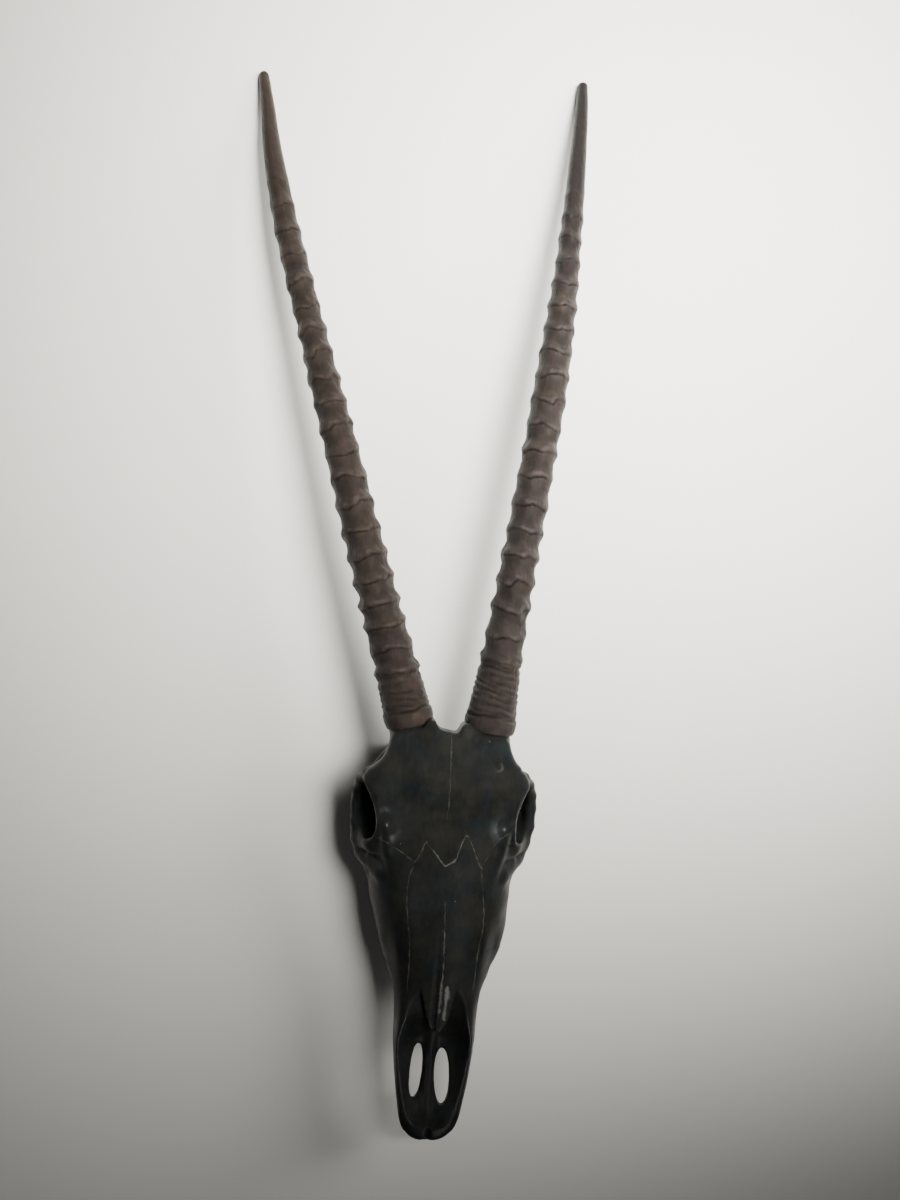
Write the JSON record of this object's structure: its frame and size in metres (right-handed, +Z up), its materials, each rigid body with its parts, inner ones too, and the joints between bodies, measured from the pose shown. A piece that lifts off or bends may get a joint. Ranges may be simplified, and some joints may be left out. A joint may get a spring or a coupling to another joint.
{
  "type": "gemsbok skull with horns",
  "caption": "Gemsbok skull lying face up, with its long ringed horns on their pedicles and its upper cheek teeth in their sockets.",
  "frame": {"origin": "middle of the footprint of the whole object, on the surface that it lies on", "axes": "+Y runs from the nose to the horn tips, +Z is up out of the face, +X is to the right of the picture, which is the animal's own left. Left and right in the names of the nodes are those of the picture"},
  "size_m": [0.3076, 0.9707, 0.128],
  "materials": {
    "bone": "near-black satin bone",
    "keratin": "dull purple-brown horn",
    "enamel": "blackened, slightly glossy enamel"
  },
  "bodies": {
    "root": {"skull": "bone", "horn_left": "keratin", "horn_right": "keratin", "premolar_2_left": "enamel", "premolar_2_right": "enamel", "premolar_3_left": "enamel", "premolar_3_right": "enamel", "premolar_4_left": "enamel", "premolar_4_right": "enamel", "molar_1_left": "enamel", "molar_1_right": "enamel", "molar_2_left": "enamel", "molar_2_right": "enamel", "molar_3_left": "enamel", "molar_3_right": "enamel"}
  },
  "joints": []
}
